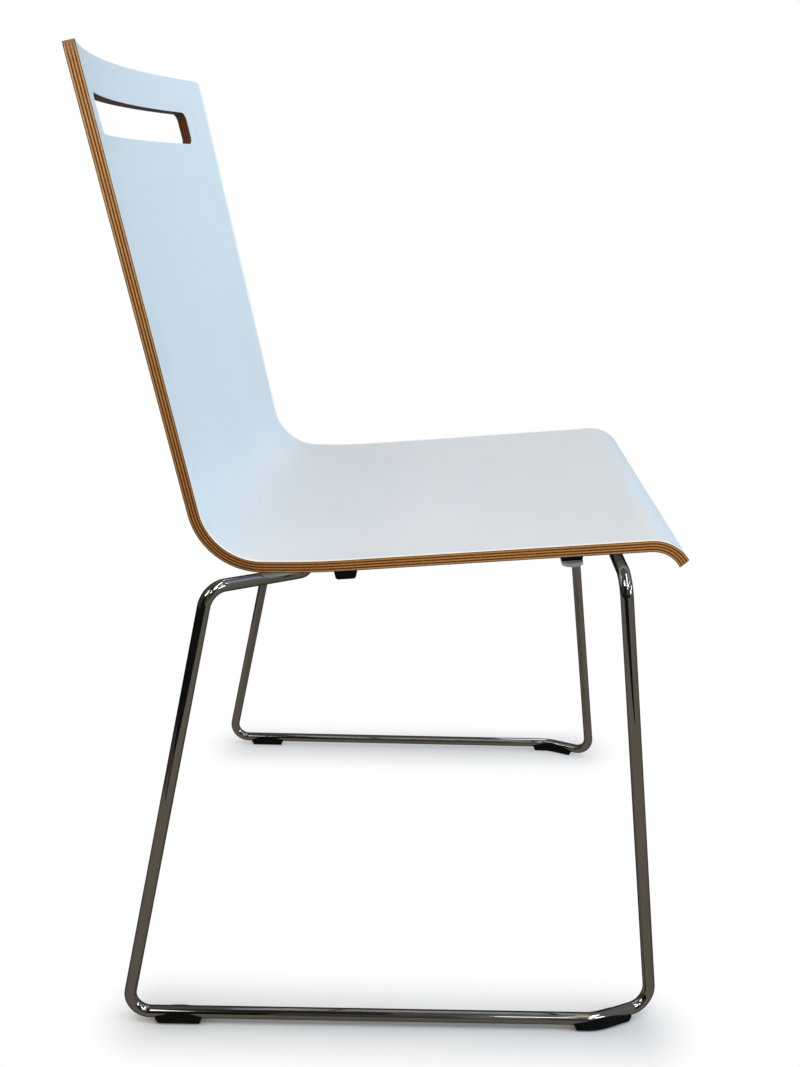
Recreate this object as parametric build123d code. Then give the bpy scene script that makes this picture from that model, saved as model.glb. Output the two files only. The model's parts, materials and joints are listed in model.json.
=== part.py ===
from build123d import *
from math import cos, radians, sin, sqrt, tan
import os

# Lengths are in millimetres and angles in degrees. The chair stands on z = 0 and faces -Y.
# "Reach" is the distance forward of the corner where rear leg and runner meet.

# Moulded shell: its side outline is that of the sitting face at the shell's side edges
back_height = 835.0
shell_width = 424.0
back_lean = 10.75
back_foot_reach = 93.0
seat_low_height = 430.5
seat_low_reach = 177.5
seat_rise = 4.3
bend_radius = 52.0
seat_dip_radius = 750.0
nose_reach = 457.0
nose_radius = 35.0
nose_drop = 58.0
nose_end_slant = 4.0
hollow_at_top = 29.5
hollow_at_bend = 14.0
trim_margin = 18.0
bend_station_count = 16

# Sheets of the shell, from the sitting face to the underside
laminate_thickness = 0.6
veneer_thickness = 1.2
veneer_count = 7

# Outline of the back, cut square to the sheet
back_corner_radius = 12.0
slot_top_drop = 33.7
slot_height = 31.2
slot_length = 318.0
slot_corner_radius = 8.0

# Frame rod: overhangs and insets are from the shell's side edge, drops from the seat's low height
rod_diameter = 11.0
rod_bend_radius = 18.0
kink_bend_radius = 45.0
rear_corner_overhang = 48.5
kink_overhang = 43.5
kink_reach = 429.0
front_corner_overhang = 20.8
front_corner_run = 51.2
rear_leg_top_overhang = 36.0
rear_leg_top_reach = 96.5
rear_leg_top_drop = 10.0
rear_bar_turn_inset = 35.0
rear_bar_reach = 166.5
rear_bar_drop = 21.0
front_leg_top_overhang = 19.6
front_bar_reach = 435.2
front_bar_drop = 4.2

# Rails under the seat and the tabs welded to them
rail_diameter = 11.0
rail_inset = 62.0
tab_thickness = 3.0
tab_width = 18.0
tab_lift = 1.0
tab_weld_radius = 2.0
rail_weld_leg = 3.0

# Fixings between frame and shell
mount_inset = 32.0
front_mount_reach = 394.8
rear_mount_reach = 201.8
front_tab_overhang = 18.6
rear_tab_overhang = 7.0
block_outer_overhang = 10.0
block_inner_overhang = 12.0
block_top_width = 22.0
block_foot_width = 17.5
block_edge_radius = 1.0
cap_floor_thickness = 4.0
cap_corner_radius = 3.0
tab_hole_diameter = 5.5
screw_diameter = 5.0
screw_head_diameter = 9.5
screw_head_height = 3.0
screw_socket_diameter = 3.6
screw_socket_depth = 1.8
screw_bite = 5.0
head_access_diameter = 11.0
washer_diameter = 9.0
washer_thickness = 1.0
washer_hole_diameter = 5.3
insert_diameter = 7.5
insert_length = 6.4

# Floor glides
glide_sole_thickness = 4.5
glide_wall_thickness = 0.75
rear_glide_reach = 48.4
rear_glide_length = 43.0
front_glide_run_back = 21.0
front_glide_run_on = 33.0
glide_foot_inset = 3.2
glide_foot_radius = 3.5
glide_end_drop = 2.6
glide_crown_lift = 3.2
glide_stud_diameter = 4.0
glide_stud_length = 5.0

# Cuts run past what they cut by this much
overrun = 5.0

# Sizes that follow from the ones above
rod_radius = rod_diameter / 2
rail_radius = rail_diameter / 2
shell_thickness = 2 * laminate_thickness + veneer_count * veneer_thickness
half_width = shell_width / 2
glide_width = rod_diameter + 2 * glide_wall_thickness
runner_height = glide_sole_thickness + rod_radius
slot_top_height = back_height - slot_top_drop
rear_corner_offset = half_width + rear_corner_overhang
kink_offset = half_width + kink_overhang
front_corner_offset = half_width + front_corner_overhang
front_corner_reach = kink_reach + front_corner_run
rear_leg_top_offset = half_width + rear_leg_top_overhang
front_leg_top_offset = half_width + front_leg_top_overhang
rear_bar_turn_offset = half_width - rear_bar_turn_inset
rail_offset = half_width - rail_inset
mount_offset = half_width - mount_inset
rear_leg_top_height = seat_low_height - rear_leg_top_drop
rear_bar_height = seat_low_height - rear_bar_drop
front_bar_height = seat_low_height - front_bar_drop
nose_start_height = seat_low_height + (nose_reach - seat_low_reach) * tan(radians(seat_rise))
nose_centre_reach = nose_reach + nose_radius * sin(radians(seat_rise))
nose_tip_reach = nose_centre_reach + nose_radius * sin(radians(nose_drop))
back_top_reach = back_foot_reach - (back_height - seat_low_height) * tan(radians(back_lean))
rearmost_reach = (back_top_reach - hollow_at_top / cos(radians(back_lean))
                  - shell_thickness * cos(radians(back_lean)))
middle_reach = (nose_tip_reach + rearmost_reach) / 2


def at(x, reach, z):
    """The point at a reach, in the chair's own axes."""
    return Vector(x, middle_reach - reach, z)


# Stations along the shell

def back_direction():
    """Unit travel down the back's sitting face, as reach and height."""
    return sin(radians(back_lean)), -cos(radians(back_lean))


def bend_tangent():
    return bend_radius * tan(radians(90 - back_lean) / 2)


def back_run():
    """Length of the straight back along its slope, from its top to the bend."""
    return (back_height - seat_low_height) / cos(radians(back_lean)) - bend_tangent()


def bend_hollow(share):
    """Hollow across the shell in the bend: it fades to nothing where the seat starts."""
    fade = (hollow_at_bend - hollow_at_top) / back_run()
    arc_length = bend_radius * radians(90 - back_lean)
    return (hollow_at_bend * (2 * share ** 3 - 3 * share ** 2 + 1)
            + fade * arc_length * (share ** 3 - 2 * share ** 2 + share))


def back_stations():
    """Top and foot of the straight back: reach, height, slope angle and hollow.

    The top station lies above the back's real top, where the outline trims it."""
    step_reach, step_height = back_direction()
    foot = bend_tangent()
    slope = back_lean - 90
    foot_reach = back_foot_reach - foot * step_reach
    foot_height = seat_low_height - foot * step_height
    run = (back_height + trim_margin - foot_height) / -step_height
    run_to_top = (back_height - foot_height) / -step_height
    hollow = hollow_at_bend + (hollow_at_top - hollow_at_bend) * run / run_to_top
    top = (foot_reach - run * step_reach, foot_height - run * step_height, slope, hollow)
    return [top, (foot_reach, foot_height, slope, hollow_at_bend)]


def bend_stations():
    """Stations round the bend between back and seat, whose centre is on the sitting side."""
    foot_reach, foot_height, start, _ = back_stations()[1]
    centre_reach = foot_reach - bend_radius * sin(radians(start))
    centre_height = foot_height + bend_radius * cos(radians(start))
    stations = []
    for step in range(bend_station_count + 1):
        share = step / bend_station_count
        slope = start * (1 - share)
        stations.append((centre_reach + bend_radius * sin(radians(slope)),
                         centre_height - bend_radius * cos(radians(slope)), slope, bend_hollow(share)))
    return stations


def section(reach, height, slope, hollow, depth_near, depth_far):
    """Closed outline across the shell between two depths behind the sitting face."""
    away_reach, away_height = sin(radians(slope)), -cos(radians(slope))
    stretch = sqrt(1 + (2 * hollow / half_width) ** 2)

    def spot(x, depth):
        return at(x, reach + away_reach * depth, height + away_height * depth)

    def bow(depth):
        edge = depth * stretch
        middle = 2 * (hollow + depth) - edge
        return spot(-half_width, edge), spot(0, middle), spot(half_width, edge)

    near, far = bow(depth_near), bow(depth_far)
    return Wire([Edge.make_bezier(*near), Edge.make_line(near[2], far[2]),
                 Edge.make_bezier(*reversed(far)), Edge.make_line(far[0], near[0])])


def seat_outline(depth_near, depth_far):
    """Side outline of the seat and its nose between two depths, as a face at x = 0."""
    start = bend_stations()[-1]
    dip_tangent = seat_dip_radius * tan(radians(seat_rise) / 2)

    def side_path(depth):
        dip = at(0, seat_low_reach - dip_tangent, seat_low_height - depth)
        first = at(0, start[0], seat_low_height - depth)
        rise = radians(seat_rise)
        drop = radians(nose_drop + nose_end_slant * depth / shell_thickness)
        outer = nose_radius - depth
        centre_height = nose_start_height - nose_radius * cos(rise)
        dip_end = at(0, seat_low_reach + dip_tangent * cos(rise) + depth * sin(rise),
                     seat_low_height + dip_tangent * sin(rise) - depth * cos(rise))
        nose = at(0, nose_centre_reach - outer * sin(rise), centre_height + outer * cos(rise))
        crown = at(0, nose_centre_reach, centre_height + outer)
        tip = at(0, nose_centre_reach + outer * sin(drop), centre_height + outer * cos(drop))
        heading = at(0, 1, 0) - at(0, 0, 0)
        return [Edge.make_line(first, dip), Edge.make_tangent_arc(dip, heading, dip_end),
                Edge.make_line(dip_end, nose), Edge.make_three_point_arc(nose, crown, tip)]

    near, far = side_path(depth_near), side_path(depth_far)
    ends = [Edge.make_line(near[-1] @ 1, far[-1] @ 1), Edge.make_line(near[0] @ 0, far[0] @ 0)]
    return Face(Wire(near + far + ends))


def sheet(depth_near, depth_far):
    """One sheet of the shell, before its outline is trimmed."""
    back = Solid.make_loft([section(*s, depth_near, depth_far) for s in back_stations()], True)
    bend = Solid.make_loft([section(*s, depth_near, depth_far) for s in bend_stations()])
    seat = extrude(seat_outline(depth_near, depth_far), amount=half_width, dir=(1, 0, 0), both=True)
    return Part() + [back, bend, seat]


def back_plane():
    """Plane through the back's two straight side lines: y runs down the back and z to the rear."""
    lean = radians(back_lean)
    rearward = at(0, -cos(lean), -sin(lean)) - at(0, 0, 0)
    return Plane(origin=at(0, back_top_reach, back_height), x_dir=(1, 0, 0), z_dir=rearward)


def level_line(height, half_length):
    """Line in the back plane that lies level along the hollow sitting face, from -X to +X."""
    lean = radians(back_lean)
    hollow = hollow_at_top - (hollow_at_top - hollow_at_bend) * (back_height - height) / back_run()
    down = (back_height - height) / cos(lean)
    end = down - hollow * (1 - (half_length / half_width) ** 2) * tan(lean)
    middle = down - hollow * tan(lean)
    return Edge.make_three_point_arc(Vector(-half_length, end), Vector(0, middle), Vector(half_length, end))


def closed_between(upper, lower):
    """Face between two lines that run from -X to +X."""
    return Face(Wire([upper, Edge.make_line(upper @ 1, lower @ 1),
                      lower, Edge.make_line(lower @ 0, upper @ 0)]))


def outline_cuts():
    """What is cut from every sheet: above the level top, its round corners and the handle slot."""
    room = hollow_at_top + shell_thickness + overrun
    corners_end = 2 * back_corner_radius

    kept = closed_between(level_line(back_height, half_width),
                          Edge.make_line((-half_width, corners_end), (half_width, corners_end)))
    kept = fillet(kept.vertices().sort_by(Axis.Y)[:2], back_corner_radius)
    rounded_to = min((spot.Y for spot in kept.vertices() if spot.X > half_width - overrun / 100))
    above = trim_margin + overrun
    waste = Pos(0, (rounded_to - above) / 2) * Rectangle(shell_width, rounded_to + above) - kept

    slot_end = slot_length / 2
    slot = closed_between(level_line(slot_top_height, slot_end),
                          level_line(slot_top_height - slot_height, slot_end))
    slot = fillet(slot.vertices(), slot_corner_radius)
    start = back_plane().offset(-overrun)
    return [extrude(start * outline, amount=room + overrun) for outline in (waste, slot)]


# Frame

SIDES = {"right": -1, "left": 1}


def frame_path(side):
    """Centreline of one rod, from the middle of the front crossbar round to that of the rear one."""
    corners = [at(0, front_bar_reach, front_bar_height),
               at(side * front_leg_top_offset, front_bar_reach, front_bar_height),
               at(side * front_corner_offset, front_corner_reach, runner_height),
               at(side * kink_offset, kink_reach, runner_height),
               at(side * rear_corner_offset, 0, runner_height),
               at(side * rear_leg_top_offset, rear_leg_top_reach, rear_leg_top_height),
               at(side * rear_bar_turn_offset, rear_bar_reach, rear_bar_height),
               at(0, rear_bar_reach, rear_bar_height)]
    bends = [rod_bend_radius, rod_bend_radius, kink_bend_radius,
             rod_bend_radius, rod_bend_radius, rod_bend_radius]
    return FilletPolyline(*corners, radius=bends)


def bare_rod(side):
    path = frame_path(side)
    start = Plane(origin=path @ 0, z_dir=path % 0)
    return sweep(start * Circle(rod_radius), path=path)


def rail_line(side):
    """Ends of a rail's axis: it runs from crossbar axis to crossbar axis."""
    rear = at(side * rail_offset, rear_bar_reach, rear_bar_height)
    front = at(side * rail_offset, front_bar_reach, front_bar_height)
    return rear, front


def round_bar(start, end, radius):
    run = end - start
    bar = Cylinder(radius, run.length, align=(Align.CENTER, Align.CENTER, Align.MIN))
    return Plane(origin=start, z_dir=run) * bar


def rail(side, rod):
    """One rail, its ends coped round the crossbars."""
    return round_bar(*rail_line(side), rail_radius) - rod


def rail_welds(side, rod, rail_bar):
    """The two weld collars where a rail meets the crossbars."""
    rear, front = rail_line(side)
    collars = []
    for start, end in ((rear, front), (front, rear)):
        run = (end - start).normalized()
        collar = Cone(rail_radius + rail_weld_leg, rail_radius, rod_radius + rail_weld_leg,
                      align=(Align.CENTER, Align.CENTER, Align.MIN))
        collars.append(Plane(origin=start, z_dir=run) * collar - rod - rail_bar)
    return collars


# Fixings between frame and shell

def seat_normal():
    """Unit vector square to the rising seat, pointing down out of its underside."""
    rise = radians(seat_rise)
    return at(0, sin(rise), -cos(rise)) - at(0, 0, 0)


def mount_plane(side, reach):
    """Plane on the shell's underside at a fixing: x outward, z down and square to the seat."""
    rise = radians(seat_rise)
    face_height = seat_low_height + (reach - seat_low_reach) * tan(rise)
    origin = at(side * mount_offset, reach, face_height) + seat_normal() * shell_thickness
    return Plane(origin=origin, x_dir=(side, 0, 0), z_dir=seat_normal())


def tab_depth(reach):
    """Distance from the underside down to the tab's middle, which lies a little over the rail's axis."""
    plane = mount_plane(1, reach)
    rear, front = rail_line(1)
    share = (rear.Y - plane.origin.Y) / (rear.Y - front.Y)
    on_axis = rear + (front - rear) * share
    return (on_axis - plane.origin).dot(plane.z_dir) - tab_lift


def tab(side, reach, overhang, rail_bar):
    """Flat tab with a round outer end, coped to the rail at its inner end."""
    round_centre = overhang - tab_width / 2
    inner_length = mount_offset - rail_offset
    strip = Pos((round_centre - inner_length) / 2, 0) * Rectangle(round_centre + inner_length, tab_width)
    flat = strip + Pos(round_centre, 0) * Circle(tab_width / 2) - Circle(tab_hole_diameter / 2)
    plane = mount_plane(side, reach) * Pos(0, 0, tab_depth(reach) - tab_thickness / 2)
    coped = plane * extrude(flat, amount=tab_thickness) - rail_bar
    return coped.solids().sort_by(Axis.X)[0 if side < 0 else -1]


def tab_welds(side, reach, tab_plate, rail_bar):
    """Two weld beads, over and under the tab, against the rail."""
    beads = []
    flank = rail_offset + rail_radius - mount_offset
    for face in (-tab_thickness / 2, tab_thickness / 2):
        place = mount_plane(side, reach) * Pos(flank, 0, tab_depth(reach) + face)
        bead = place * Rot(90, 0, 0) * Cylinder(tab_weld_radius, tab_width - 2 * tab_weld_radius)
        beads += (bead - tab_plate - rail_bar).solids()
    return beads


def tapered_block(height, foot_radius):
    """Block in a mount plane: its sides draw in from the shell down to its foot."""
    outline = Polygon((-block_top_width / 2, 0), (block_top_width / 2, 0),
                      (block_foot_width / 2, height), (-block_foot_width / 2, height), align=None)
    if foot_radius:
        outline = fillet(outline.vertices().sort_by(Axis.Y)[-2:], foot_radius)
    across = Plane(origin=(-block_inner_overhang, 0, 0), x_dir=(0, 1, 0), z_dir=(1, 0, 0))
    block = extrude(across * outline, amount=block_inner_overhang + block_outer_overhang)
    ends = block.faces().filter_by(Axis.X).edges()
    sides = [edge for edge in ends if abs((edge @ 0).Z - (edge @ 1).Z) > height / 2]
    return fillet(sides, block_edge_radius)


def front_spacer(side):
    height = tab_depth(front_mount_reach) - tab_thickness / 2
    block = tapered_block(height, 0) - Cylinder(tab_hole_diameter / 2, height + overrun,
                                               align=(Align.CENTER, Align.CENTER, Align.MIN))
    return mount_plane(side, front_mount_reach) * block


def rear_cap(side, tab_plate):
    """Cap round the rear tab, open underneath for the screw's head."""
    depth = tab_depth(rear_mount_reach)
    height = depth + tab_thickness / 2 + cap_floor_thickness
    low = (Align.CENTER, Align.CENTER, Align.MIN)
    block = tapered_block(height, cap_corner_radius)
    block -= Cylinder(tab_hole_diameter / 2, height + overrun, align=low)
    block -= Pos(0, 0, depth) * Cylinder(head_access_diameter / 2, height, align=low)
    return mount_plane(side, rear_mount_reach) * block - tab_plate


def insert_seat(side, reach):
    """What one insert takes out of the shell."""
    return mount_plane(side, reach) * Cylinder(
        insert_diameter / 2, insert_length, align=(Align.CENTER, Align.CENTER, Align.MAX))


def insert(side, reach):
    """One blind threaded insert, flush with the underside."""
    up = (Align.CENTER, Align.CENTER, Align.MAX)
    body = Cylinder(insert_diameter / 2, insert_length, align=up)
    return mount_plane(side, reach) * (body - Cylinder(screw_diameter / 2, screw_bite, align=up))


def washer(side, reach):
    """Washer against the underside of a tab."""
    low = (Align.CENTER, Align.CENTER, Align.MIN)
    ring = Cylinder(washer_diameter / 2, washer_thickness, align=low)
    ring -= Cylinder(washer_hole_diameter / 2, washer_thickness, align=low)
    return mount_plane(side, reach) * Pos(0, 0, tab_depth(reach) + tab_thickness / 2) * ring


def screw(side, reach):
    """Round head screw from under the washer up into the insert, its head drilled for a key."""
    low = (Align.CENTER, Align.CENTER, Align.MIN)
    head_seat = tab_depth(reach) + tab_thickness / 2 + washer_thickness
    shank = Pos(0, 0, -screw_bite) * Cylinder(screw_diameter / 2, screw_bite + head_seat, align=low)
    head = Cylinder(screw_head_diameter / 2, screw_head_height, align=low)
    head = fillet(head.edges().sort_by(Axis.Z)[-1], screw_head_height / 2)
    socket = extrude(RegularPolygon(screw_socket_diameter / 2, 6), amount=screw_socket_depth)
    head -= Pos(0, 0, screw_head_height - screw_socket_depth) * socket
    return mount_plane(side, reach) * (shank + Pos(0, 0, head_seat) * head)


# Floor glides

def glide_section():
    """Section across a glide, about the rod's axis with y down: round at the rod, narrower at the foot."""
    foot = Rectangle(glide_width, runner_height, align=(Align.CENTER, Align.MIN))
    foot = fillet(foot.vertices().sort_by(Axis.Y)[-2:], glide_foot_radius)
    return foot + Circle(glide_width / 2)


def glide_end_cut(path, at_start):
    """What trims one end of a glide: its foot slants in, and its upper edge rises to a crown."""
    end, way = (path @ 0, (path % 0) * -1) if at_start else (path @ 1, path % 1)
    across = Plane(origin=Vector(end.X, end.Y, 0), x_dir=way, z_dir=way.cross(Vector(0, 0, 1)))
    tip = Vector(0, runner_height - glide_end_drop)
    crown = Vector(-path.length / 2, runner_height + glide_crown_lift)
    beyond = glide_width + overrun
    past_crown = crown.X - overrun
    sides = Polyline(crown, (past_crown, crown.Y), (past_crown, crown.Y + beyond),
                     (beyond, crown.Y + beyond), (beyond, -overrun),
                     (-glide_foot_inset, -overrun), (-glide_foot_inset, 0), tip)
    outline = Face(Wire([Edge.make_tangent_arc(crown, Vector(1, 0), tip), *sides.edges()]))
    return extrude(across * outline, amount=beyond, both=True)


def glide(path, stud_spot, rod):
    """Clip round the runner, with a foot under it and a stud up into the rod."""
    start = Plane(origin=path @ 0, x_dir=(path % 0).cross(Vector(0, 0, 1)), z_dir=path % 0)
    block = sweep(start * glide_section(), path=path)
    block -= glide_end_cut(path, True)
    block -= glide_end_cut(path, False)
    return block - rod + stud(stud_spot)


def stud(spot):
    """Stud of a glide, which fills its blind hole in the rod."""
    return Pos(spot.X, spot.Y, runner_height - rod_radius) * Cylinder(
        glide_stud_diameter / 2, glide_stud_length, align=(Align.CENTER, Align.CENTER, Align.MIN))


def rear_glide_path(side):
    """Straight stretch of the runner that a rear glide covers."""
    rear, kink = at(side * rear_corner_offset, 0, 0), at(side * kink_offset, kink_reach, 0)
    way = (kink - rear).normalized()
    middle = rear + way * rear_glide_reach + Vector(0, 0, runner_height)
    half = way * (rear_glide_length / 2)
    return Line(middle - half, middle + half)


def front_glide_path(side):
    """Stretch through the runner's kink that a front glide covers."""
    level = Vector(0, 0, runner_height)
    rear = at(side * rear_corner_offset, 0, 0)
    kink = at(side * kink_offset, kink_reach, 0)
    front = at(side * front_corner_offset, front_corner_reach, 0)
    back_end = kink + (rear - kink).normalized() * front_glide_run_back
    front_end = kink + (front - kink).normalized() * front_glide_run_on
    return FilletPolyline(back_end + level, kink + level, front_end + level, radius=kink_bend_radius)


# Build every piece and write it

def build():
    """All pieces by node name; a piece made of several solids is a list of them."""
    pieces = {}
    mounts = {"front": (front_mount_reach, front_tab_overhang),
              "rear": (rear_mount_reach, rear_tab_overhang)}
    spots = [(side, reach) for side in SIDES.values() for reach, _ in mounts.values()]

    cuts = outline_cuts() + [insert_seat(side, reach) for side, reach in spots]
    names = ["face_laminate"] + [f"veneer_{n}" for n in range(1, veneer_count + 1)] + ["back_laminate"]
    depth = 0
    for name in names:
        thickness = laminate_thickness if "laminate" in name else veneer_thickness
        pieces[name] = sheet(depth, depth + thickness) - cuts
        depth += thickness

    welds, beads = [], []
    for name, side in SIDES.items():
        rod = bare_rod(side)
        rail_bar = rail(side, rod)
        pieces[f"rail_{name}"] = rail_bar
        welds += rail_welds(side, rod, rail_bar)
        for end, (reach, overhang) in mounts.items():
            plate = tab(side, reach, overhang, rail_bar)
            pieces[f"{end}_tab_{name}"] = plate
            beads += tab_welds(side, reach, plate, rail_bar)
        pieces[f"front_spacer_{name}"] = front_spacer(side)
        pieces[f"rear_cap_{name}"] = rear_cap(side, pieces[f"rear_tab_{name}"])
        paths = {"rear": rear_glide_path(side), "front": front_glide_path(side)}
        for end, path in paths.items():
            pieces[f"{end}_glide_{name}"] = glide(path, path @ 0.5, rod)
            rod -= stud(path @ 0.5)
        pieces[f"frame_{name}"] = rod
    pieces["rail_welds"] = welds
    pieces["tab_welds"] = beads
    pieces["mount_screws"] = [screw(side, reach) for side, reach in spots]
    pieces["mount_washers"] = [washer(side, reach) for side, reach in spots]
    pieces["shell_inserts"] = [insert(side, reach) for side, reach in spots]
    return pieces


os.makedirs("parts", exist_ok=True)
for node, piece in build().items():
    solids = [s for p in piece for s in p.solids()] if isinstance(piece, list) else piece.solids()
    shape = solids[0] if len(solids) == 1 else Compound(children=list(solids))
    shape.label = node
    export_step(shape, f"parts/{node}.step")
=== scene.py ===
import json
from math import radians, tan

import bmesh
import bpy
from mathutils import Matrix, Vector


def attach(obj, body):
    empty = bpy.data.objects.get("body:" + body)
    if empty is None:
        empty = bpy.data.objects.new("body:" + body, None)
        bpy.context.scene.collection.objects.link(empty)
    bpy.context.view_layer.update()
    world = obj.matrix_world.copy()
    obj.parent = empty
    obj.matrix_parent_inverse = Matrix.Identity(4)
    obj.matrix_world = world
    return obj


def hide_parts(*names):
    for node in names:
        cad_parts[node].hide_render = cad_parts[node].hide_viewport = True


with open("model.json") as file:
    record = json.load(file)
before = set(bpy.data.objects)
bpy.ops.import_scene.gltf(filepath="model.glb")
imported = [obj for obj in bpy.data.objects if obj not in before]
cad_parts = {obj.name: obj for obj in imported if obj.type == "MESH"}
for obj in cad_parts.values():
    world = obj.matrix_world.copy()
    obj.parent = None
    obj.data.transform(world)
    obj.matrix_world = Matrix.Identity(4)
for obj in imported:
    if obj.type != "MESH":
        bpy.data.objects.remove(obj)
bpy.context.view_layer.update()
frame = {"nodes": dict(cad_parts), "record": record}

# Lengths are in metres, the same as those of the solids. The chair stands on z = 0 and faces -Y.
# "Reach" is the distance forward of the corner where rear leg and runner meet.

MM = 0.001
MIDDLE_REACH = 233.025 * MM

# Frame rod
ROD_RADIUS = 5.5 * MM
ROD_BEND = 18 * MM
KINK_BEND = 45 * MM
RUNNER_HEIGHT = 10 * MM
REAR_CORNER_OFFSET = 260.5 * MM
KINK_OFFSET = 255.5 * MM
KINK_REACH = 429 * MM
FRONT_CORNER_OFFSET = 232.8 * MM
FRONT_CORNER_REACH = 480.2 * MM
REAR_LEG_TOP_OFFSET = 248 * MM
REAR_LEG_TOP_REACH = 96.5 * MM
REAR_LEG_TOP_HEIGHT = 420.5 * MM
REAR_BAR_TURN_OFFSET = 177 * MM
REAR_BAR_REACH = 166.5 * MM
REAR_BAR_HEIGHT = 409.5 * MM
FRONT_LEG_TOP_OFFSET = 231.6 * MM
FRONT_BAR_REACH = 435.2 * MM
FRONT_BAR_HEIGHT = 426.3 * MM

# Shell: the slot's foot, head and end lie a little outside its walls
HALF_WIDTH = 212 * MM
SLOT_FOOT = 760 * MM
SLOT_HEAD = 806 * MM
SLOT_END = 160 * MM
SHELL_TOP = 835 * MM
CORNER_RADIUS = 12 * MM

SIDES = {"right": -1, "left": 1}


def at(x, reach, z):
    """The point at a reach, in the chair's own axes."""
    return Vector((x, MIDDLE_REACH - reach, z))


# Materials: a noise's scale is about how many lumps it has to the metre

class Finish:
    """A material being made: its shader, and the nodes that feed it."""

    def __init__(self, name, color=(0.8, 0.8, 0.8), roughness=0.5, metallic=0.0, **shader):
        self.material = bpy.data.materials.new(name)
        self.material.use_nodes = True
        self.tree = self.material.node_tree
        self.shader = self.tree.nodes["Principled BSDF"]
        self.place = self.tree.nodes.new("ShaderNodeTexCoord").outputs["Object"]
        self.set(self.shader, Base_Color=(*color, 1), Roughness=roughness, Metallic=metallic, **shader)

    def set(self, node, **inputs):
        """Gives a node's inputs their values, or links them where they are sockets."""
        for name, value in inputs.items():
            socket = node.inputs[int(name[1:])] if name[1:].isdigit() else node.inputs[name.replace("_", " ")]
            if isinstance(value, bpy.types.NodeSocket):
                self.tree.links.new(value, socket)
            else:
                socket.default_value = value
        return node

    def node(self, kind, settings=None, **inputs):
        node = self.tree.nodes.new("ShaderNode" + kind)
        for name, value in (settings or {}).items():
            setattr(node, name, value)
        return self.set(node, **inputs)

    def noise(self, scale, detail, roughness=0.5):
        return self.node("TexNoise", Vector=self.place, Scale=scale, Detail=detail,
                         Roughness=roughness).outputs["Fac"]

    def split(self, vector):
        """A vector's shares along X, Y and Z."""
        return self.node("SeparateXYZ", Vector=vector).outputs

    def length(self, vector):
        return self.node("VectorMath", {"operation": "LENGTH"}, _0=vector).outputs["Value"]

    def math(self, operation, a, b=0.0):
        return self.node("Math", {"operation": operation}, _0=a, _1=b).outputs[0]

    def ranged(self, value, low, high, to_low=0.0, to_high=1.0, curve="LINEAR"):
        """A value's run from low to high, made to run from to_low to to_high and no further."""
        return self.node("MapRange", {"interpolation_type": curve}, Value=value, From_Min=low,
                         From_Max=high, To_Min=to_low, To_Max=to_high).outputs["Result"]

    def mix(self, share, a, b, blend="MIX"):
        """Colour a, turning to colour b with the share, or to their product."""
        node = self.node("Mix", {"data_type": "RGBA", "blend_type": blend})
        self.set(node, _0=share, _6=a if isinstance(a, bpy.types.NodeSocket) else (*a, 1),
                 _7=b if isinstance(b, bpy.types.NodeSocket) else (*b, 1))
        return node.outputs[2]

    def color(self, socket):
        self.set(self.shader, Base_Color=socket)

    def rough(self, socket):
        self.set(self.shader, Roughness=socket)

    def bump(self, height, distance):
        """Surface relief."""
        node = self.node("Bump", Height=height, Distance=distance)
        self.set(self.shader, Normal=node.outputs["Normal"])

    def surface(self, socket):
        """Shows a shader other than the material's own."""
        self.tree.links.new(socket, self.tree.nodes["Material Output"].inputs["Surface"])


FACE_TONES = (0.80, 0.815, 0.83), (0.82, 0.83, 0.845)
# Painted highlight: the pale tone laid along the face's rims, where light would catch the eased edge
RIM_HIGHLIGHT_TONE = (1.0, 0.98, 0.93)
RIM_HIGHLIGHT_START, RIM_HIGHLIGHT_END = HALF_WIDTH - 4.2 * MM, HALF_WIDTH - 3.2 * MM
CORE_TONES = (0.050, 0.026, 0.014), (0.095, 0.05, 0.028)


def white_laminate(name, back=False):
    """High-pressure laminate: a fine matt white face with a painted highlight that makes it palest at its
    rims, over a brown paper core, which shows at its edges."""
    finish = Finish(name, roughness=0.46)
    across, _, height = finish.split(finish.place)
    cloud = finish.ranged(finish.noise(7.0, 3.0), 0.35, 0.65)
    # Painted highlight: the face turns paler towards its rims
    rim_highlight = finish.ranged(finish.math("ABSOLUTE", across), RIM_HIGHLIGHT_START, RIM_HIGHLIGHT_END)
    face = finish.mix(rim_highlight, finish.mix(cloud, *FACE_TONES), RIM_HIGHLIGHT_TONE)
    core = finish.mix(finish.ranged(finish.noise(700.0, 3.0), 0.3, 0.7), *CORE_TONES)
    finish.color(finish.mix(edge_share(finish, height, back), face, core))
    finish.rough(finish.ranged(finish.noise(60.0, 4.0), 0.3, 0.7, 0.42, 0.5))
    finish.bump(finish.noise(1400.0, 2.0), 0.02 * MM)
    return finish.material


def sides_of(finish):
    """How far a surface looks across and along, without regard to the sense, then along and up with it."""
    across, along, up = finish.split(finish.node("NewGeometry").outputs["True Normal"])
    return finish.math("ABSOLUTE", across), finish.math("ABSOLUTE", along), along, up


# Limits that tell sawn edges by how far a surface looks one way, from minus one to one
SIDE_EDGE, TOP_EDGE = 0.9, 0.6
NOSE_EDGE_FORWARD, NOSE_EDGE_DOWN = -0.4, -0.3
SLOT_HEAD_DOWN = -0.5


def edge_share(finish, height, back):
    """One on a laminate's sawn edges and nought on its face, told by the way the surface looks."""
    across, along, forward, up = sides_of(finish)
    sides = finish.math("GREATER_THAN", across, SIDE_EDGE)
    over = finish.math("MULTIPLY", finish.math("GREATER_THAN", height, SLOT_FOOT),
                       finish.math("LESS_THAN", along, TOP_EDGE))
    nose = (finish.math("LESS_THAN", forward, NOSE_EDGE_FORWARD) if back
            else finish.math("LESS_THAN", up, NOSE_EDGE_DOWN))
    return finish.math("MAXIMUM", finish.math("MAXIMUM", sides, over), nose)


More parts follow.
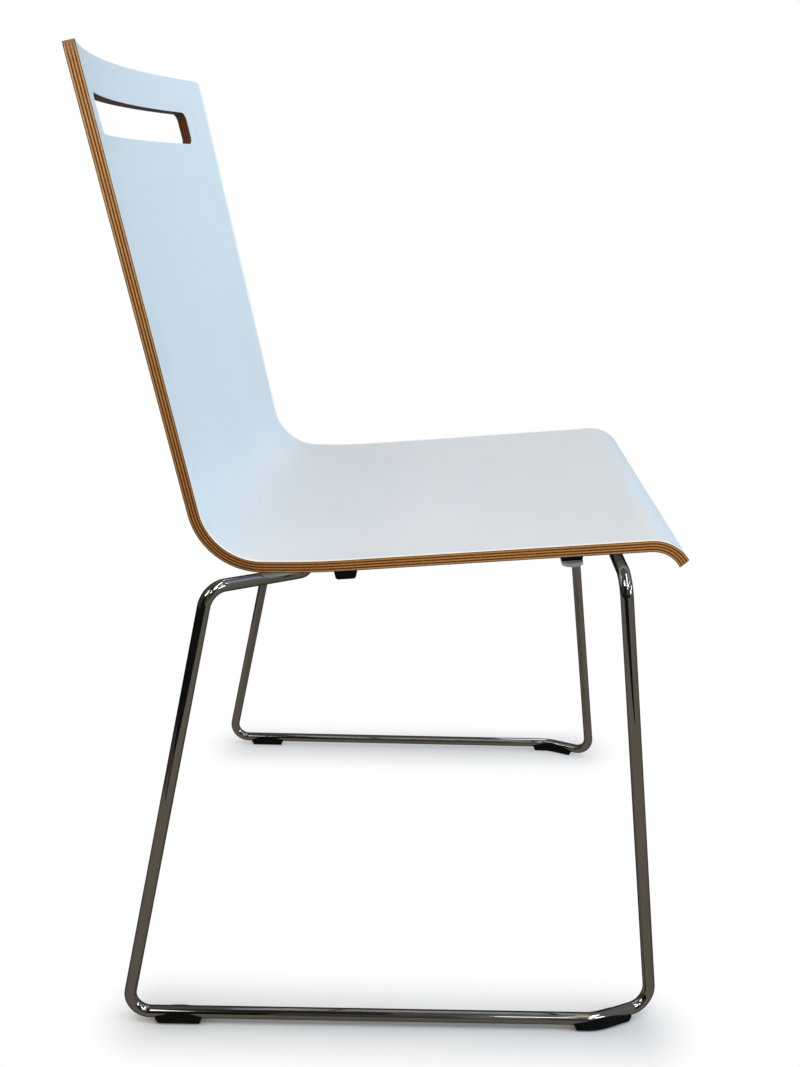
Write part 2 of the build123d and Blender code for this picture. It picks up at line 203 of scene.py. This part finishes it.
def slot_share(finish, across, height):
    """One on the walls of the handle slot and nought elsewhere."""
    inside = finish.math("LESS_THAN", finish.math("ABSOLUTE", across), SLOT_END)
    over = finish.math("GREATER_THAN", height, SLOT_FOOT)
    under = finish.math("LESS_THAN", height, SLOT_HEAD)
    return finish.math("MULTIPLY", inside, finish.math("MULTIPLY", over, under))


# Painted light and shade on the wood's edges: darker round the bend, paler and bluer at the back's top
BEND_SHADE_TONE, SEAT_SHADE_TONE, TOP_LIGHT_TONE = (0.66, 0.62, 0.52), (0.92, 0.92, 0.90), (1.25, 1.45, 1.95)
BEND_END, SEAT_MIDDLE = 170 * MM, -50 * MM
TOP_LIGHT_FOOT, TOP_LIGHT_HEAD = 470 * MM, 780 * MM
# The slot's walls are darker; its head, which faces down, takes painted shade
SLOT_WALL_TONE, SLOT_HEAD_SHADE_TONE = (0.34, 0.24, 0.32), (0.15, 0.22, 0.80)
# Duller, greyer brown at the back's top corner
TOP_CORNER_TONE, MOST_TOP_CORNER_SHARE = (0.28, 0.15, 0.09), 0.8


def painted_light_tone(finish, along, height):
    """Painted light and shade on the wood's edges: painted shade deepest round the bend, warmer to the nose,
    and painted light, palest and bluest, at the back's top.
    """
    seat_shade = finish.mix(finish.ranged(along, BEND_END, SEAT_MIDDLE), BEND_SHADE_TONE, SEAT_SHADE_TONE)
    return finish.mix(finish.ranged(height, TOP_LIGHT_FOOT, TOP_LIGHT_HEAD), seat_shade, TOP_LIGHT_TONE)


def veneer(name, early, late, pore, scale):
    """Edge of one wood layer: streaks along the layer and small pores, under painted light and shade along
    its length. It is darker on the slot's walls, with painted shade on the slot's head, which faces down,
    and duller and greyer at the back's top corner."""
    finish = Finish(name, roughness=0.42, Specular_IOR_Level=0.15)
    across, along, height = finish.split(finish.place)
    streak = finish.noise(scale, 5.0, roughness=0.6)
    spots = finish.ranged(finish.noise(2600.0, 1.0), 0.62, 0.72)
    wood = finish.mix(spots, finish.mix(finish.ranged(streak, 0.3, 0.7), early, late), pore)
    # Painted shade on the slot head's wall that faces down; the slot's other walls are just darker
    at_head = finish.math("LESS_THAN", sides_of(finish)[3], SLOT_HEAD_DOWN)
    slot_tone = finish.mix(at_head, SLOT_WALL_TONE, SLOT_HEAD_SHADE_TONE)
    # Painted light and shade along the edge, with the slot's tone on its walls
    light_and_slot_tone = finish.mix(slot_share(finish, across, height), painted_light_tone(finish, along, height), slot_tone)
    # Duller, greyer brown towards the back's top corner
    top_corner_share = finish.ranged(height, SHELL_TOP - CORNER_RADIUS, SHELL_TOP - CORNER_RADIUS / 4,
                            to_high=MOST_TOP_CORNER_SHARE)
    finish.color(finish.mix(top_corner_share, finish.mix(1.0, wood, light_and_slot_tone, "MULTIPLY"), TOP_CORNER_TONE))
    finish.rough(finish.ranged(streak, 0.3, 0.7, 0.36, 0.5))
    finish.bump(streak, 0.03 * MM)
    return finish.material


def scaled(color, share):
    return tuple(part * share for part in color)


EDGE_TINT = (0.10, 0.09, 0.08, 1)


def chrome(name, color, roughness, metallic=1.0):
    """Polished or plated metal under a faint haze, a little darker where it turns away."""
    finish = Finish(name, color=color, roughness=roughness, metallic=metallic, Specular_Tint=EDGE_TINT)
    finish.rough(finish.ranged(finish.noise(40.0, 4.0), 0.35, 0.7, roughness * 0.8, roughness * 1.3))
    finish.color(finish.mix(finish.ranged(finish.noise(14.0, 3.0), 0.35, 0.65), color, scaled(color, 0.93)))
    finish.bump(finish.noise(220.0, 3.0), 0.001 * MM)
    return finish.material


def black_plastic(name, color, roughness, grain):
    """Moulded plastic with a fine grain, greyer in soft clouds."""
    finish = Finish(name, color=color, roughness=roughness, Specular_IOR_Level=0.12)
    finish.color(finish.mix(finish.ranged(finish.noise(90.0, 4.0), 0.4, 0.7), color, scaled(color, 1.6)))
    finish.rough(finish.ranged(finish.noise(400.0, 3.0), 0.3, 0.7, roughness * 0.85, roughness * 1.15))
    finish.bump(finish.noise(grain, 2.0), 0.03 * MM)
    return finish.material


MATERIALS = {
    "laminate": white_laminate("white_laminate"),
    "laminate_back": white_laminate("white_laminate_back", back=True),
    "veneer_light": veneer("light_veneer_edge", (0.745, 0.365, 0.112), (0.51, 0.218, 0.056),
                           (0.20, 0.08, 0.02), 500.0),
    "veneer_dark": veneer("dark_veneer_edge", (0.22, 0.052, 0.003), (0.125, 0.026, 0.002),
                          (0.06, 0.015, 0.001), 900.0),
    "insert_brass": chrome("plain_brass", (0.75, 0.60, 0.32), 0.25),
    "chrome_rod": chrome("bright_chrome", (0.45, 0.44, 0.42), 0.04),
    "chrome_plate": chrome("plate_zinc", (0.55, 0.55, 0.55), 0.4, 0.3),
    "chrome_weld": chrome("weld_chrome", (0.40, 0.39, 0.38), 0.24),
    "black_plastic": black_plastic("fine_black_plastic", (0.004, 0.004, 0.0045), 0.5, 1600.0),
    "glide_plastic": black_plastic("glide_black_plastic", (0.003, 0.003, 0.0035), 0.42, 1200.0),
    "screw_steel": chrome("zinc_steel", (0.55, 0.55, 0.55), 0.3),
}

slots = {entry["node"]: entry["material_slot"] for entry in frame["record"]["subparts"]}
for node, solid in frame["nodes"].items():
    solid.data.materials.clear()
    finish_name = "laminate_back" if node == "back_laminate" else slots[node]
    solid.data.materials.append(MATERIALS[finish_name])


# Frame rods, made again as smooth as the chrome needs

ROD_SIDES, BEND_STEPS = 40, 14
MERGE_SHARE = 0.001


def piece(name, bm, slot, replaced):
    """Makes a finished piece from a bmesh: it stands for a solid and rides with the chair."""
    mesh = bpy.data.meshes.new(name)
    for face in bm.faces:
        face.smooth = True
    bm.to_mesh(mesh)
    bm.free()
    obj = bpy.data.objects.new(name, mesh)
    bpy.context.scene.collection.objects.link(obj)
    mesh.materials.append(MATERIALS[slot])
    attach(obj, "root")
    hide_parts(replaced)
    return obj


def bent_rod(corners, bends, radius):
    """Round rod along straight runs between corners, with a radius at each inner corner."""
    bm = bmesh.new()
    start = (corners[1] - corners[0]).to_track_quat("Z", "Y").to_matrix().to_4x4()
    ring = bmesh.ops.create_circle(bm, segments=ROD_SIDES, radius=radius, cap_ends=True,
                                   matrix=Matrix.Translation(corners[0]) @ start)
    loop = list({edge for vert in ring["verts"] for edge in vert.link_edges})
    spot = corners[0]

    def run_to(edges, move):
        out = bmesh.ops.extrude_edge_only(bm, edges=edges)["geom"]
        bmesh.ops.translate(bm, verts=[g for g in out if isinstance(g, bmesh.types.BMVert)], vec=move)
        return [g for g in out if isinstance(g, bmesh.types.BMEdge)]

    for before, corner, after, bend in zip(corners, corners[1:], corners[2:], bends):
        into, away = (corner - before).normalized(), (after - corner).normalized()
        turn = into.angle(away)
        reach = bend * tan(turn / 2)
        entry = corner - into * reach
        loop = run_to(loop, entry - spot)
        axis = into.cross(away).normalized()
        out = bmesh.ops.spin(bm, geom=loop, cent=entry + axis.cross(into) * bend, axis=axis,
                             angle=turn, steps=BEND_STEPS)
        loop = [g for g in out["geom_last"] if isinstance(g, bmesh.types.BMEdge)]
        spot = corner + away * reach
    loop = run_to(loop, corners[-1] - spot)
    bmesh.ops.holes_fill(bm, edges=loop)
    bmesh.ops.remove_doubles(bm, verts=bm.verts, dist=radius * MERGE_SHARE)
    bmesh.ops.recalc_face_normals(bm, faces=bm.faces)
    return bm


def frame_corners(side):
    """Corners of one frame rod, from the middle of the front crossbar round to that of the rear one."""
    return [at(0, FRONT_BAR_REACH, FRONT_BAR_HEIGHT),
            at(side * FRONT_LEG_TOP_OFFSET, FRONT_BAR_REACH, FRONT_BAR_HEIGHT),
            at(side * FRONT_CORNER_OFFSET, FRONT_CORNER_REACH, RUNNER_HEIGHT),
            at(side * KINK_OFFSET, KINK_REACH, RUNNER_HEIGHT),
            at(side * REAR_CORNER_OFFSET, 0, RUNNER_HEIGHT),
            at(side * REAR_LEG_TOP_OFFSET, REAR_LEG_TOP_REACH, REAR_LEG_TOP_HEIGHT),
            at(side * REAR_BAR_TURN_OFFSET, REAR_BAR_REACH, REAR_BAR_HEIGHT),
            at(0, REAR_BAR_REACH, REAR_BAR_HEIGHT)]


FRAME_BENDS = [ROD_BEND, ROD_BEND, KINK_BEND, ROD_BEND, ROD_BEND, ROD_BEND]
for name, side in SIDES.items():
    rod = bent_rod(frame_corners(side), FRAME_BENDS, ROD_RADIUS)
    piece(f"frame_rod_{name}", rod, "chrome_rod", f"frame_{name}")


# Studio: floor, cards that only the chrome reflects, lamps and sky

def flat_panel(name, size, place, material):
    """Rectangle in the X and Y of a place, which isn't part of the chair."""
    bm = bmesh.new()
    bmesh.ops.create_grid(bm, x_segments=1, y_segments=1, size=0.5,
                          matrix=place @ Matrix.Diagonal((*size, 1, 1)))
    mesh = bpy.data.meshes.new(name)
    bm.to_mesh(mesh)
    bm.free()
    obj = bpy.data.objects.new(name, mesh)
    bpy.context.scene.collection.objects.link(obj)
    mesh.materials.append(material)
    return obj


def seen_directly(tree):
    """One for camera, glossy and transmission rays, and nought for the light that falls on things."""
    path = tree.nodes.new("ShaderNodeLightPath")
    seen = path.outputs["Is Camera Ray"]
    for ray in ("Is Glossy Ray", "Is Transmission Ray"):
        either = tree.nodes.new("ShaderNodeMath")
        either.operation = "MAXIMUM"
        tree.links.new(seen, either.inputs[0])
        tree.links.new(path.outputs[ray], either.inputs[1])
        seen = either.outputs[0]
    return seen


FLOOR_SIZE = 24
FLOOR_COLOR = (0.79, 0.77, 0.757)
SHADE_REACH = 70 * MM
RUNNER_OFFSET, RUNNER_MIDDLE, RUNNER_HALF = 256 * MM, -10 * MM, 215 * MM
LEFT_RUNNER_WHITE = 0.35


def pale_floor():
    """Matt white floor: it keeps its shade round the runners, less of it at the left one, and runs out to
    plain white beyond."""
    finish = Finish("pale_floor", color=FLOOR_COLOR, roughness=0.9, Specular_IOR_Level=0.1)
    across, along, _ = finish.split(finish.place)
    aside = finish.math("SUBTRACT", finish.math("ABSOLUTE", across), RUNNER_OFFSET)
    past = finish.math("ABSOLUTE", finish.math("SUBTRACT", along, RUNNER_MIDDLE))
    past = finish.math("MAXIMUM", finish.math("SUBTRACT", past, RUNNER_HALF), 0.0)
    away = finish.length(finish.node("CombineXYZ", X=aside, Y=past).outputs["Vector"])
    least = finish.ranged(across, -RUNNER_OFFSET, RUNNER_OFFSET, to_high=LEFT_RUNNER_WHITE)
    fade = finish.ranged(away, 0.0, SHADE_REACH, to_low=least, curve="SMOOTHSTEP")
    white = finish.node("Emission", Color=(1, 1, 1, 1), Strength=1.0)
    blend = finish.node("MixShader", Fac=finish.math("MULTIPLY", fade, seen_directly(finish.tree)))
    finish.set(blend, _1=finish.shader.outputs[0], _2=white.outputs[0])
    finish.surface(blend.outputs[0])
    return finish.material


flat_panel("floor", (FLOOR_SIZE, FLOOR_SIZE), Matrix.Identity(4), pale_floor())

UNDER_CHAIR, BESIDE_CHAIR, UNDER_CHAIR_GLOW = 0.1, 0.36, 0.7


def plain_card(name, color, shaded=False):
    """Card that glows evenly, so its colour in a reflection doesn't hang on the lamps; shaded, it dims
    smoothly under the chair."""
    finish = Finish(name)
    glow = finish.node("Emission", Color=(*color, 1), Strength=1.0)
    if shaded:
        away = finish.length(finish.place)
        finish.set(glow, Strength=finish.ranged(away, UNDER_CHAIR, BESIDE_CHAIR, to_low=UNDER_CHAIR_GLOW,
                                                curve="SMOOTHSTEP"))
    finish.surface(glow.outputs[0])
    finish.tree.nodes.remove(finish.shader)
    return finish.material


GLOWS = {
    "carpet": (0.207, 0.190, 0.147),
    "shade": (0.07, 0.062, 0.05),
    "dark": (0.012, 0.012, 0.011),
    "dim": (0.032, 0.031, 0.03),
    "grey": (0.085, 0.085, 0.085),
    "olive": (0.135, 0.13, 0.11),
    "pale": (0.20, 0.215, 0.24),
    "front": (0.17, 0.19, 0.22),
    "sky": (0.40, 0.48, 0.57),
    "window": (0.90, 1.05, 1.20),
    "panel": (3.0, 3.0, 3.0),
    "cream": (1.0, 0.88, 0.65),
    "lamp": (7.0, 6.9, 6.6),
}
CARD_FINISHES = {glow: plain_card(f"{glow}_card", color, shaded=glow == "carpet")
                 for glow, color in GLOWS.items()}


def reflected_card(name, glow, low, high, place):
    """Flat card between two corners of a level or an upright. It shows in gloss and chrome alone, and casts
    no shade or light."""
    middle = Matrix.Translation(((low[0] + high[0]) / 2, (low[1] + high[1]) / 2, 0))
    card = flat_panel(name, (high[0] - low[0], high[1] - low[1]), place @ middle, CARD_FINISHES[glow])
    card.visible_camera = card.visible_diffuse = card.visible_shadow = False
    card.visible_transmission = card.visible_volume_scatter = False


ROOM_HEIGHT = 2.9
HALF_ROOM = 3.5


def level(height):
    return Matrix.Translation((0, 0, height))


def upright(quarter, gap):
    """The place of a wall, a quarter turn at a time: before the chair, on its left, behind, on its right."""
    turn = Matrix.Rotation(radians(90) * quarter, 4, "Z")
    return turn @ Matrix.Translation((0, gap - HALF_ROOM, 0)) @ Matrix.Rotation(radians(90), 4, "X")


# A card's row: its glow, its low and high corner, and how many layers it lies before the bare surface,
# so that it covers the cards of fewer layers
LAYER = 1 * MM
FLOOR_LAYER = 0.2 * MM
WHOLE_ROOM = (-HALF_ROOM, -HALF_ROOM), (HALF_ROOM, HALF_ROOM)
WHOLE_WALL = (-HALF_ROOM, 0), (HALF_ROOM, ROOM_HEIGHT)

FLOOR_CARDS = {
    "carpet": ("carpet", *WHOLE_ROOM, 2),
    "shade_side": ("shade", (-HALF_ROOM, 0.3), (-0.72, HALF_ROOM), 3),
    "shade_behind": ("shade", (-0.72, 0.9), (HALF_ROOM, HALF_ROOM), 3),
    "dark_side": ("dark", (-HALF_ROOM, -0.4), (-0.88, HALF_ROOM), 4),
    "dark_behind": ("dark", (-0.88, 1.3), (HALF_ROOM, HALF_ROOM), 4),
}
for name, (glow, low, high, layers) in FLOOR_CARDS.items():
    reflected_card(name, glow, low, high, level(layers * FLOOR_LAYER))

reflected_card("ceiling", "olive", *WHOLE_ROOM, level(ROOM_HEIGHT))
CEILING_CARDS = [
    ("pale", (-HALF_ROOM, -HALF_ROOM), (HALF_ROOM, -0.3), 1),
    ("olive", (0.1, -1.15), (0.7, -0.3), 2),
    ("dim", (-HALF_ROOM, 0.0), (-0.5, 0.7), 1),
    ("panel", (-3.2, 0.78), (-1.4, 1.6), 2),
    ("grey", (-3.2, 0.62), (-1.4, 0.78), 2),
    ("cream", (-1.7, -0.82), (0.1, -0.54), 2),
    ("lamp", (-2.3, -1.12), (0.1, -0.82), 3),
    ("lamp", (-3.3, -2.45), (-2.2, -1.5), 3),
    ("lamp", (-1.75, -3.2), (-1.3, -2.8), 3),
    ("lamp", (-3.0, -3.0), (-2.6, -2.6), 3),
    ("lamp", (-3.1, 1.7), (-2.05, 2.4), 3),
    ("lamp", (-3.1, -0.7), (-2.7, -0.4), 3),
    ("sky", (-0.4, -HALF_ROOM), (0.9, -2.1), 2),
    ("window", (-0.2, -HALF_ROOM), (0.25, -3.2), 3),
    ("panel", (1.05, -0.52), (2.2, -0.28), 3),
]
for number, (glow, low, high, layers) in enumerate(CEILING_CARDS):
    reflected_card(f"ceiling_{number}_{glow}", glow, low, high, level(ROOM_HEIGHT - layers * LAYER))

FRONT, LEFT, BEHIND, RIGHT = range(4)
WALL_CARDS = [
    (FRONT, "front", *WHOLE_WALL, 0),
    (LEFT, "grey", *WHOLE_WALL, 0),
    (BEHIND, "shade", *WHOLE_WALL, 0),
    (RIGHT, "dark", *WHOLE_WALL, 0),
    (FRONT, "sky", (-1.0, 1.95), (0.4, 2.45), 1),
    (FRONT, "pale", (-1.2, 0.0), (0.0, 0.7), 1),
    (FRONT, "lamp", (-2.5, 0.75), (-1.3, 1.4), 2),
    (FRONT, "lamp", (-0.45, 0.85), (0.5, 1.15), 2),
    (FRONT, "lamp", (-0.75, 2.5), (-0.4, 2.8), 2),
    (RIGHT, "grey", (-0.45, 0.5), (0.25, ROOM_HEIGHT), 1),
    (RIGHT, "pale", (0.25, 0.5), (0.55, ROOM_HEIGHT), 1),
    (RIGHT, "grey", (0.55, 0.5), (2.0, ROOM_HEIGHT), 1),
    (RIGHT, "lamp", (0.85, 2.2), (1.4, 2.65), 2),
]
for number, (wall, glow, low, high, layers) in enumerate(WALL_CARDS):
    reflected_card(f"wall_{number}_{glow}", glow, low, high, upright(wall, layers * LAYER))

CHAIR_MIDDLE = (0, 0, 0.45)
LAMP_HEIGHT = 2.8
WARM = (1.0, 0.985, 0.96)
WARMER = (1.0, 0.95, 0.90)
DAYLIGHT = (0.37, 0.72, 1.0)


def lamp(name, size, power, color, place, target):
    data = bpy.data.lights.new(name, "AREA")
    data.shape = "RECTANGLE"
    data.size, data.size_y = size
    data.energy, data.color = power, color
    obj = bpy.data.objects.new(name, data)
    obj.location = place
    obj.rotation_euler = (Vector(target) - Vector(place)).to_track_quat("-Z", "Y").to_euler()
    obj.visible_glossy = False
    bpy.context.scene.collection.objects.link(obj)


def hung_lamp(name, size, power, color, x, y):
    """Lamp under the ceiling that shines straight down."""
    lamp(name, size, power, color, (x, y, LAMP_HEIGHT), (x, y, 0))


for row in (-1.5, 0.0, 1.5):
    for column in (-1.3, 0.3):
        hung_lamp(f"ceiling_lamp_{row}_{column}", (0.25, 0.25), 2.3, WARM, column, row)
hung_lamp("ceiling_strip", (1.4, 2.8), 24.5, WARMER, -0.95, 0.15)
lamp("front_window", (0.9, 1.5), 37, DAYLIGHT, (-0.7, -2.5, 1.2), CHAIR_MIDDLE)
lamp("soft_behind", (2.0, 1.6), 20, WARM, (0.5, 2.8, 1.3), CHAIR_MIDDLE)

SKY_ON_THINGS, SKY_SEEN = 0.45, 1.0


def studio_sky():
    """White sky, brighter where it is seen than in the light that it casts."""
    world = bpy.data.worlds.new("studio")
    world.use_nodes = True
    tree = world.node_tree
    background = tree.nodes["Background"]
    background.inputs["Color"].default_value = (1, 1, 1, 1)
    strength = tree.nodes.new("ShaderNodeMapRange")
    strength.inputs["To Min"].default_value = SKY_ON_THINGS
    strength.inputs["To Max"].default_value = SKY_SEEN
    tree.links.new(seen_directly(tree), strength.inputs["Value"])
    tree.links.new(strength.outputs["Result"], background.inputs["Strength"])
    return world


bpy.context.scene.world = studio_sky()


# Camera: the photograph's place, 18 degrees down on the chair's right-hand side

CAMERA_PLACE = at(-1076.61 * MM, 290.09 * MM, 737.63 * MM)
CAMERA_PITCH, CAMERA_YAW, CAMERA_ROLL = 0.314161, 0.0446643, -0.0063919
FOCAL_PIXELS, FRAME_HEIGHT, SENSOR = 1103.445, 1067, 36

lens = bpy.data.cameras.new("camera")
lens.sensor_width = SENSOR
lens.lens = SENSOR * FOCAL_PIXELS / FRAME_HEIGHT
camera = bpy.data.objects.new("camera", lens)
camera.matrix_world = (Matrix.Translation(CAMERA_PLACE)
                       @ Matrix.Rotation(radians(-90) + CAMERA_YAW, 4, "Z")
                       @ Matrix.Rotation(radians(90) - CAMERA_PITCH, 4, "X")
                       @ Matrix.Rotation(CAMERA_ROLL, 4, "Z"))
bpy.context.scene.collection.objects.link(camera)
bpy.context.scene.camera = camera
bpy.context.scene.view_settings.view_transform = "Standard"
